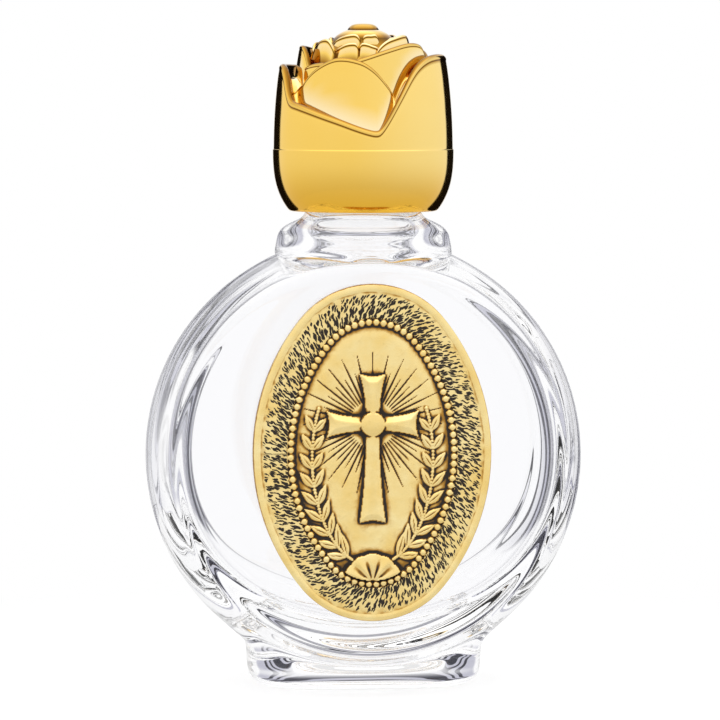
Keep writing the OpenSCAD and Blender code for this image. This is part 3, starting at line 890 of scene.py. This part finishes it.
def make_medallion():
    """A grid drawn to the oval and struck with the relief, with its edge turned down and its back closed."""
    begin()
    bpy.ops.mesh.primitive_grid_add(x_subdivisions=FACE_COLUMNS, y_subdivisions=FACE_ROWS, size=2)
    piece = bpy.context.object
    piece.name = "struck_medallion"
    flat = read_points(piece)
    u = flat[:, 0]
    v = flat[:, 1]
    x = u * np.sqrt(1 - v * v / 2) * PLATE_HALF_X
    z = v * np.sqrt(1 - u * u / 2) * PLATE_HALF_Z
    far = np.maximum(np.hypot(x, z), 1e-9)
    ellipse = 1 / np.sqrt(np.maximum((x / far / PLATE_HALF_X) ** 2 + (z / far / PLATE_HALF_Z) ** 2, 1e-12))
    share = far / ellipse
    grow = 1 + (oval_reach(x / far, z / far) / ellipse - 1) * share ** 4
    x = x * grow
    z = z * grow
    rise = medallion_relief(x, z)
    order = np.lexsort((u, v))
    heights = rise[order].reshape(FACE_ROWS + 1, FACE_COLUMNS + 1)
    # Patina stays where the face lies below its near and its wider surroundings; the same mark also draws
    # amber painted shade about the recesses.
    hollow = np.zeros(heights.shape)
    for reach, full in HOLLOWS:
        hollow += np.maximum(blurred(heights, reach) - heights, 0) / full
    patina = np.empty(len(flat))
    patina[order] = np.clip(hollow, 0, 1).ravel()
    front = PLATE_BACK - PLATE_THICK
    write_points(piece, np.stack([x, front - rise, z + PLATE_Z], axis=1))
    # The dashes of the border grow from the rim inwards, and run along the oval.
    depth = oval_depth(x, z)
    struck = soft_step(depth, RIM_WIDTH, RIM_WIDTH + 0.5)
    struck = struck * (0.8 + 0.3 * soft_step(depth, RIM_WIDTH + 1.2, BORDER_END))
    struck = struck * (1 - soft_step(depth, BORDER_END - 0.05, BORDER_END + 0.05))
    length, whole = along_oval(x, z, BORDER_END)
    around = np.where(x * z >= 0, length, 2 * whole - length) + np.where(z < 0, 2 * whole, 0)
    course = np.stack([around, depth, 0 * depth], axis=1)
    for name, kind, key, values in (
            ("patina", "FLOAT", "value", patina), ("struck", "FLOAT", "value", struck),
            ("course", "FLOAT_VECTOR", "vector", course)):
        layer = piece.data.attributes.new(name, kind, "POINT")
        layer.data.foreach_set(key, values.ravel())
    bpy.ops.object.mode_set(mode="EDIT")
    pick(piece, "EDGE", lambda edge: edge.is_boundary)
    # The edge swells a little as it turns down, and draws in at the back.
    for across, up, y in ((1.004, 1.003, front + 0.25), (1, 1, PLATE_BACK - 0.1), (0.994, 0.996, PLATE_BACK)):
        pull(piece, lambda co: Vector((co.x * across, y, PLATE_Z + (co.z - PLATE_Z) * up)))
    bpy.ops.mesh.edge_face_add()
    face_outwards()
    return piece


# Materials

def clear_glass():
    """Soda-lime glass, pressed and fire polished: water clear, with a faint waviness from the mould."""
    material, tree, shader, place = new_material("pressed_soda_lime_glass")
    shader.inputs["Base Color"].default_value = linear("#FDFDFE")
    shader.inputs["Transmission Weight"].default_value = 1.0
    shader.inputs["IOR"].default_value = 1.52
    shader.inputs["Roughness"].default_value = 0.0
    # Waves about 9 mm long.
    wave = add_node(tree, "ShaderNodeTexNoise", None, {"Vector": place, "Scale": 1 / (9 * MM), "Detail": 1.0})
    bump = add_node(tree, "ShaderNodeBump", None, {
        "Height": wave.outputs["Fac"], "Strength": 0.012, "Distance": 1 * MM})
    tree.links.new(bump.outputs["Normal"], shader.inputs["Normal"])
    return material


def metallised_gold():
    """Plastic under a vacuum-laid gold film and clear lacquer: a mirror with a little moulded ripple."""
    material, tree, shader, place = new_material("gold_metallised_plastic")
    shader.inputs["Metallic"].default_value = 1.0
    # The gold is drawn paler towards +X as a painted reflection, and its tone drifts over about 8 mm.
    drift = add_node(tree, "ShaderNodeTexNoise", None, {
        "Vector": place, "Scale": 1 / (8 * MM), "Detail": 2.0})
    sides = add_node(tree, "ShaderNodeSeparateXYZ", None, {0: place}).outputs
    across = add_node(tree, "ShaderNodeMapRange", {"interpolation_type": "SMOOTHSTEP"}, {
        "Value": sides["X"], "From Min": -4 * MM, "From Max": 9 * MM, "To Min": 0.15, "To Max": 0.85})
    drift_and_painted_side = add_node(tree, "ShaderNodeMath", {"operation": "MULTIPLY_ADD"}, {
        0: drift.outputs["Fac"], 1: 0.3, 2: across.outputs["Result"]})
    even = add_node(tree, "ShaderNodeMath", {"operation": "SUBTRACT"}, {0: drift_and_painted_side.outputs[0], 1: 0.15})
    film = add_node(tree, "ShaderNodeMix", {"data_type": "RGBA"}, {
        0: even.outputs[0], 6: linear("#F7CC5E"), 7: linear("#FADD8C")})
    # Painted shade: the gold is drawn a deeper amber over the lowest 7 mm.
    deep = add_node(tree, "ShaderNodeMapRange", {"interpolation_type": "SMOOTHSTEP"}, {
        "Value": sides["Z"], "From Min": CAP_BOTTOM * MM, "From Max": (CAP_BOTTOM + 7) * MM,
        "To Min": 1.0, "To Max": 0.0})
    low = add_node(tree, "ShaderNodeMix", {"data_type": "RGBA"}, {
        0: deep.outputs["Result"], 6: film.outputs[2], 7: linear("#EFB83C")})
    # Painted light along the petals: a painted highlight pale at their feet, painted shade amber on the lips
    # and nearly black in the creases.
    painted_shade_and_highlight = add_node(tree, "ShaderNodeAttribute", {"attribute_name": "tint"}).outputs["Fac"]
    painted_highlight = add_node(tree, "ShaderNodeMapRange", None, {
        "Value": painted_shade_and_highlight, "From Min": 0.0, "From Max": -1.0, "To Max": 0.85})
    tone = add_node(tree, "ShaderNodeMix", {"data_type": "RGBA"}, {
        0: painted_highlight.outputs["Result"], 6: low.outputs[2], 7: linear("#FFF3D4")})
    amber_shade_share = add_node(tree, "ShaderNodeMapRange", None, {"Value": painted_shade_and_highlight, "From Max": 0.6})
    # Past 0.6 the painted shade turns from amber to nearly black.
    thick = add_node(tree, "ShaderNodeMapRange", None, {"Value": painted_shade_and_highlight, "From Min": 0.6})
    amber = add_node(tree, "ShaderNodeMix", {"data_type": "RGBA"}, {
        0: amber_shade_share.outputs["Result"], 6: tone.outputs[2], 7: linear("#B07F2C")})
    lined = add_node(tree, "ShaderNodeMix", {"data_type": "RGBA"}, {
        0: thick.outputs["Result"], 6: amber.outputs[2], 7: linear("#3A2209")})
    tree.links.new(lined.outputs[2], shader.inputs["Base Color"])
    # Lacquer haze in patches of about 2 mm.
    haze = add_node(tree, "ShaderNodeTexNoise", None, {"Vector": place, "Scale": 1 / (2 * MM), "Detail": 3.0})
    rough = add_node(tree, "ShaderNodeMapRange", None, {
        "Value": haze.outputs["Fac"], "To Min": 0.05, "To Max": 0.11})
    tree.links.new(rough.outputs["Result"], shader.inputs["Roughness"])
    bump = add_node(tree, "ShaderNodeBump", None, {
        "Height": drift.outputs["Fac"], "Strength": 0.06, "Distance": 1 * MM})
    tree.links.new(bump.outputs["Normal"], shader.inputs["Normal"])
    return material


def antique_gold():
    """Struck brass, gilt and antiqued: polished high points, and black-brown patina left in the recesses."""
    material, tree, shader, place = new_material("antiqued_gilt_brass")
    dark = add_node(tree, "ShaderNodeAttribute", {"attribute_name": "patina"})
    # Patina clings unevenly, in blots of about 0.7 mm.
    blots = add_node(tree, "ShaderNodeTexNoise", None, {
        "Vector": place, "Scale": 1 / (0.7 * MM), "Detail": 4.0})
    uneven = add_node(tree, "ShaderNodeMath", {"operation": "MULTIPLY_ADD"}, {
        0: blots.outputs["Fac"], 1: 0.5, 2: -0.25})
    reach = add_node(tree, "ShaderNodeMath", {"operation": "ADD"}, {
        0: dark.outputs["Fac"], 1: uneven.outputs[0]})
    hollow = add_node(tree, "ShaderNodeMapRange", {"interpolation_type": "SMOOTHSTEP"}, {
        "Value": reach.outputs[0], "From Min": 0.25, "From Max": 0.8})
    # Dashes about 0.9 mm long and 0.25 mm apart slant across the border, and crowd at its inner side.
    worked = add_node(tree, "ShaderNodeAttribute", {"attribute_name": "struck"}).outputs["Fac"]
    course = add_node(tree, "ShaderNodeAttribute", {"attribute_name": "course"}).outputs["Vector"]
    wander = add_node(tree, "ShaderNodeTexNoise", None, {"Vector": course, "Scale": 1 / 0.6, "Detail": 1.0})
    bent = add_node(tree, "ShaderNodeVectorMath", {"operation": "MULTIPLY_ADD"}, {
        0: wander.outputs["Color"], 1: (0.5, 0.5, 0), 2: course})
    slant = add_node(tree, "ShaderNodeMapping", None, {"Vector": bent.outputs[0], "Rotation": (0, 0, 0.45)})
    drawn = add_node(tree, "ShaderNodeMapping", None, {
        "Vector": slant.outputs["Vector"], "Scale": (1 / 0.24, 1 / 0.95, 1)})
    dashes = add_node(tree, "ShaderNodeTexVoronoi", {"voronoi_dimensions": "2D"}, {
        "Vector": drawn.outputs["Vector"], "Scale": 1.0})
    width = add_node(tree, "ShaderNodeMapRange", None, {"Value": worked, "To Min": 0.0, "To Max": 0.5})
    depth = add_node(tree, "ShaderNodeMath", {"operation": "SUBTRACT"}, {
        0: width.outputs["Result"], 1: dashes.outputs["Distance"]})
    dash = add_node(tree, "ShaderNodeMapRange", {"interpolation_type": "SMOOTHSTEP"}, {
        "Value": depth.outputs[0], "From Min": -0.05, "From Max": 0.06})
    cover = add_node(tree, "ShaderNodeMath", {"operation": "MAXIMUM"}, {
        0: hollow.outputs["Result"], 1: dash.outputs["Result"]})
    # The gilding's tone drifts over about 3 mm.
    drift = add_node(tree, "ShaderNodeTexNoise", None, {
        "Vector": place, "Scale": 1 / (3 * MM), "Detail": 3.0})
    gilt = add_node(tree, "ShaderNodeMix", {"data_type": "RGBA"}, {
        0: drift.outputs["Fac"], 6: linear("#FFF0B8"), 7: linear("#F0C662")})
    # Around the patina the gold is drawn amber: partly thin patina, partly painted shade about the recesses.
    shade = add_node(tree, "ShaderNodeMapRange", {"interpolation_type": "SMOOTHSTEP"}, {
        "Value": reach.outputs[0], "From Min": 0.02, "From Max": 0.45})
    warm = add_node(tree, "ShaderNodeMix", {"data_type": "RGBA"}, {
        0: shade.outputs["Result"], 6: gilt.outputs[2], 7: linear("#BE8A36")})
    tone = add_node(tree, "ShaderNodeMix", {"data_type": "RGBA"}, {
        0: cover.outputs[0], 6: warm.outputs[2], 7: linear("#22160B")})
    tree.links.new(tone.outputs[2], shader.inputs["Base Color"])
    metal = add_node(tree, "ShaderNodeMapRange", None, {
        "Value": cover.outputs[0], "To Min": 1.0, "To Max": 0.25})
    tree.links.new(metal.outputs["Result"], shader.inputs["Metallic"])
    rough = add_node(tree, "ShaderNodeMapRange", None, {
        "Value": cover.outputs[0], "To Min": 0.24, "To Max": 0.6})
    tree.links.new(rough.outputs["Result"], shader.inputs["Roughness"])
    relief = add_node(tree, "ShaderNodeMath", {"operation": "SUBTRACT"}, {
        0: blots.outputs["Fac"], 1: dash.outputs["Result"]})
    bump = add_node(tree, "ShaderNodeBump", None, {
        "Height": relief.outputs[0], "Strength": 0.3, "Distance": 0.1 * MM})
    tree.links.new(bump.outputs["Normal"], shader.inputs["Normal"])
    return material


def matt_polymer(name, light, dark, grain_mm, roughness, relief):
    """A pale polymer with grain of the size given: its colour, gloss and relief vary with the grain."""
    material, tree, shader, place = new_material(name)
    grain = add_node(tree, "ShaderNodeTexNoise", None, {
        "Vector": place, "Scale": 1 / (grain_mm * MM), "Detail": 3.0})
    tone = add_node(tree, "ShaderNodeMix", {"data_type": "RGBA"}, {
        0: grain.outputs["Fac"], 6: linear(light), 7: linear(dark)})
    tree.links.new(tone.outputs[2], shader.inputs["Base Color"])
    rough = add_node(tree, "ShaderNodeMapRange", None, {
        "Value": grain.outputs["Fac"], "To Min": roughness - 0.06, "To Max": roughness + 0.06})
    tree.links.new(rough.outputs["Result"], shader.inputs["Roughness"])
    bump = add_node(tree, "ShaderNodeBump", None, {
        "Height": grain.outputs["Fac"], "Strength": relief, "Distance": 0.1 * MM})
    tree.links.new(bump.outputs["Normal"], shader.inputs["Normal"])
    return material


# Stage

# The camera stands to the left of the front and a little above.
CAMERA_TURN = -4.8
CAMERA_LIFT = 4.3
CAMERA_FAR = 480.0
CAMERA_LENS = 191.6
CAMERA_AIM = (-0.4, 0.0, 40.6)
# The floor's radius, and where it starts and ends to fade.
FLOOR_R = 100
FADE_START = 20
FADE_END = 90
# Bands of the light tent, in degrees about the line of sight: start, full, fade, end.
GAP_BAND = (9, 13, 43, 47)
HAZE_BAND = (9.5, 17.5, 46, 54)
LINE_BANDS = [(11, 11.2, 12, 12.2), (13.6, 13.9, 15.3, 15.6), (17.5, 17.9, 23.6, 24), (26, 26.3, 27.7, 28),
              (30.5, 30.9, 33.6, 34)]
LEVEL_BAND = (-13, -9, 14.5, 24.5)
# The rings' middle lies this many degrees below level, and the gaps' tops rise this steeply to the sides.
RINGS_DOWN = 7.5
GAP_SLOPE = 0.75


def make_camera():
    """A long lens at the picture's own viewing angle."""
    turn = math.radians(CAMERA_TURN)
    lift = math.radians(CAMERA_LIFT)
    back = Vector((math.sin(turn) * math.cos(lift), -math.cos(turn) * math.cos(lift), math.sin(lift)))
    begin()
    bpy.ops.object.camera_add()
    camera = bpy.context.object
    camera.data.sensor_width = 36
    camera.data.lens = CAMERA_LENS
    camera.data.clip_start = 0.01
    camera.location = (Vector(CAMERA_AIM) + back * CAMERA_FAR) * MM
    camera.rotation_mode = "QUATERNION"
    camera.rotation_quaternion = (-back).to_track_quat("-Z", "Y")
    bpy.context.scene.camera = camera


def make_floor():
    """A round white sweep that fades into the white behind it, so that no edge shows."""
    begin()
    bpy.ops.mesh.primitive_circle_add(
        vertices=96, radius=FLOOR_R * MM, fill_type="NGON", location=(0, 0, 0))
    floor = bpy.context.object
    floor.name = "studio_floor"
    material, tree, shader, place = new_material("white_paper_sweep")
    shader.inputs["Roughness"].default_value = 0.8
    # Paper tooth of about 1 mm.
    tooth = add_node(tree, "ShaderNodeTexNoise", None, {
        "Vector": place, "Scale": 1 / (1 * MM), "Detail": 2.0})
    tone = add_node(tree, "ShaderNodeMix", {"data_type": "RGBA"}, {
        0: tooth.outputs["Fac"], 6: linear("#FBFBFB"), 7: linear("#F8F8F8")})
    tree.links.new(tone.outputs[2], shader.inputs["Base Color"])
    path = add_node(tree, "ShaderNodeLightPath")
    # Gold mirrors the paper a little darker than white.
    shown = add_node(tree, "ShaderNodeMapRange", None, {
        "Value": path.outputs["Is Glossy Ray"], "To Min": 1.0, "To Max": 0.82})
    white = add_node(tree, "ShaderNodeEmission", None, {
        "Color": linear("#FFFFFF"), "Strength": shown.outputs["Result"]})
    far = add_node(tree, "ShaderNodeVectorMath", {"operation": "LENGTH"}, {0: place})
    fade = add_node(tree, "ShaderNodeMapRange", {"interpolation_type": "SMOOTHSTEP"}, {
        "Value": far.outputs["Value"], "From Min": FADE_START * MM, "From Max": FADE_END * MM,
        "To Min": 0.45})
    mirrored = add_node(tree, "ShaderNodeMath", {"operation": "MAXIMUM"}, {
        0: path.outputs["Is Glossy Ray"], 1: path.outputs["Is Transmission Ray"]})
    share = add_node(tree, "ShaderNodeMath", {"operation": "MAXIMUM"}, {
        0: mirrored.outputs[0], 1: fade.outputs["Result"]})
    mixed = add_node(tree, "ShaderNodeMixShader", None, {
        0: share.outputs[0], 1: shader.outputs["BSDF"], 2: white.outputs["Emission"]})
    out = next(n for n in tree.nodes if n.type == "OUTPUT_MATERIAL")
    tree.links.new(mixed.outputs["Shader"], out.inputs["Surface"])
    floor.data.materials.append(material)
    floor.visible_transmission = False


def make_studio():
    """A white tent, brighter overhead, with a dark gap on each side behind the object.

    Gold mirrors the gaps as black edges. Glass sees soft grey and dark rings about the line of sight in their
    place, so it is clear head on and lined at its edges.
    """
    world = bpy.data.worlds.new("light_tent")
    bpy.context.scene.world = world
    world.use_nodes = True
    tree = world.node_tree
    tree.nodes.clear()
    soft = {"interpolation_type": "SMOOTHSTEP"}
    colours = {"data_type": "RGBA"}
    way = add_node(tree, "ShaderNodeTexCoord").outputs["Generated"]
    along = add_node(tree, "ShaderNodeSeparateXYZ", None, {0: way}).outputs
    path = add_node(tree, "ShaderNodeLightPath").outputs

    def band(value, limits, within):
        """A mask that is full between a value's two middle limits, inside another mask."""
        start, full, fade, end = limits
        for low, high, at_low, at_high in ((start, full, 0.0, 1.0), (fade, end, 1.0, 0.0)):
            edge = add_node(tree, "ShaderNodeMapRange", soft, {
                "Value": value, "From Min": low, "From Max": high, "To Min": at_low, "To Max": at_high})
            within = add_node(tree, "ShaderNodeMath", {"operation": "MULTIPLY"}, {
                0: within, 1: edge.outputs["Result"]}).outputs[0]
        return within

    # Degrees to the side of the line of sight.
    turn = add_node(tree, "ShaderNodeMath", {"operation": "ARCTAN2"}, {0: along["X"], 1: along["Y"]})
    off = add_node(tree, "ShaderNodeMath", {"operation": "SUBTRACT"}, {
        0: turn.outputs[0], 1: math.radians(-CAMERA_TURN)})
    to_side = add_node(tree, "ShaderNodeMath", {"operation": "ABSOLUTE"}, {0: off.outputs[0]})
    aside = add_node(tree, "ShaderNodeMath", {"operation": "MULTIPLY"}, {
        0: to_side.outputs[0], 1: math.degrees(1)}).outputs[0]
    # The gaps end in a slope above the object, and under the floor.
    turned = math.radians(CAMERA_TURN)
    sideways = add_node(tree, "ShaderNodeVectorMath", {"operation": "DOT_PRODUCT"}, {
        0: way, 1: (math.cos(turned), math.sin(turned), 0)})
    width = add_node(tree, "ShaderNodeMath", {"operation": "ABSOLUTE"}, {0: sideways.outputs["Value"]})
    above = add_node(tree, "ShaderNodeMath", {"operation": "MULTIPLY_ADD"}, {
        0: width.outputs[0], 1: -GAP_SLOPE, 2: along["Z"]})
    under_top = add_node(tree, "ShaderNodeMapRange", soft, {
        "Value": above.outputs[0], "From Min": -0.04, "From Max": 0.08, "To Min": 1.0, "To Max": 0.0})
    over_floor = add_node(tree, "ShaderNodeMapRange", soft, {
        "Value": along["Z"], "From Min": -0.85, "From Max": -0.7})
    height = add_node(tree, "ShaderNodeMath", {"operation": "MULTIPLY"}, {
        0: under_top.outputs["Result"], 1: over_floor.outputs["Result"]})
    # What gold mirrors: the tent, dimmer low down, and the gaps.
    overhead = add_node(tree, "ShaderNodeMapRange", soft, {
        "Value": along["Z"], "From Min": 0.62, "From Max": 0.82, "To Min": 0.0, "To Max": 0.5})
    dimmed = add_node(tree, "ShaderNodeMapRange", soft, {
        "Value": along["Z"], "From Min": -0.6, "From Max": 0.3, "To Min": 0.8, "To Max": 1.04})
    gold_tent = add_node(tree, "ShaderNodeMath", {"operation": "ADD"}, {
        0: dimmed.outputs["Result"], 1: overhead.outputs["Result"]})
    mirrored = add_node(tree, "ShaderNodeMix", colours, {
        0: band(aside, GAP_BAND, height.outputs[0]), 6: gold_tent.outputs[0], 7: linear("#15110E")})
    # What glass sees: the tent behind a grey haze, and dark rings in it.
    lift = add_node(tree, "ShaderNodeMath", {"operation": "ARCSINE"}, {0: along["Z"]})
    rise = add_node(tree, "ShaderNodeMath", {"operation": "MULTIPLY_ADD"}, {
        0: lift.outputs[0], 1: math.degrees(1), 2: RINGS_DOWN}).outputs[0]
    level = band(rise, LEVEL_BAND, 1.0)
    both = add_node(tree, "ShaderNodeCombineXYZ", None, {"X": aside, "Y": rise})
    spread = add_node(tree, "ShaderNodeVectorMath", {"operation": "LENGTH"}, {
        0: both.outputs["Vector"]}).outputs["Value"]
    lit = add_node(tree, "ShaderNodeMapRange", soft, {
        "Value": along["Z"], "From Min": 0.0, "From Max": 0.3, "To Min": 1.0, "To Max": 1.04})
    seen = add_node(tree, "ShaderNodeMath", {"operation": "ADD"}, {
        0: lit.outputs["Result"], 1: overhead.outputs["Result"]}).outputs[0]
    for limits, tone in [(HAZE_BAND, "#BEBECC")] + [(line, "#121228") for line in LINE_BANDS]:
        seen = add_node(tree, "ShaderNodeMix", colours, {
            0: band(spread, limits, level), 6: seen, 7: linear(tone)}).outputs[2]
    clear = add_node(tree, "ShaderNodeMath", {"operation": "MAXIMUM"}, {
        0: path["Is Transmission Ray"], 1: path["Is Singular Ray"]})
    tent = add_node(tree, "ShaderNodeMix", colours, {0: clear.outputs[0], 6: mirrored.outputs[2], 7: seen})
    shown = add_node(tree, "ShaderNodeMix", colours, {
        0: path["Is Camera Ray"], 6: tent.outputs[2], 7: linear("#FFFFFF")})
    sky = add_node(tree, "ShaderNodeBackground", None, {"Color": shown.outputs[2], "Strength": 1.0})
    add_node(tree, "ShaderNodeOutputWorld", None, {"Surface": sky.outputs["Background"]})


make_camera()
make_floor()
make_studio()
bpy.context.scene.view_settings.view_transform = "Standard"
# Light is handed on many times inside thick glass before it finds its way out.
bpy.context.scene.cycles.max_bounces = 32
bpy.context.scene.cycles.glossy_bounces = 24
bpy.context.scene.cycles.transmission_bounces = 32
bpy.context.scene.cycles.diffuse_bounces = 32
# What lies behind the glass is lit through it as sharply as it is seen.
bpy.context.scene.cycles.blur_glossy = 0.0

finish_piece(make_bottle(), clear_glass(), "bottle", "glass_bottle")
finish_piece(make_rose_cap(), metallised_gold(), "cap", "rose_cap")
finish_piece(make_medallion(), antique_gold(), "bottle", "medallion")

# Polypropylene, moulded: off-white, satin, with fine grain of about 0.6 mm.
WHITE_PLASTIC = matt_polymer("moulded_polypropylene", "#FDFDFB", "#F8F8F5", 0.6, 0.42, 0.08)
# Polyethylene foam, skived: soft white with open cells of about 0.3 mm.
LINER_FOAM = matt_polymer("polyethylene_foam", "#FBFAF7", "#F4F3EE", 0.3, 0.75, 0.35)
# Acrylic foam tape: milky, with a faint grain of about 0.4 mm.
ADHESIVE = matt_polymer("acrylic_foam_tape", "#E9E8E1", "#DAD8CF", 0.4, 0.5, 0.15)
for node_name, finish in (
        ("cap_insert", WHITE_PLASTIC), ("cap_liner", LINER_FOAM), ("medallion_adhesive", ADHESIVE)):
    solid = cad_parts[node_name]
    solid.data.materials.clear()
    solid.data.materials.append(finish)
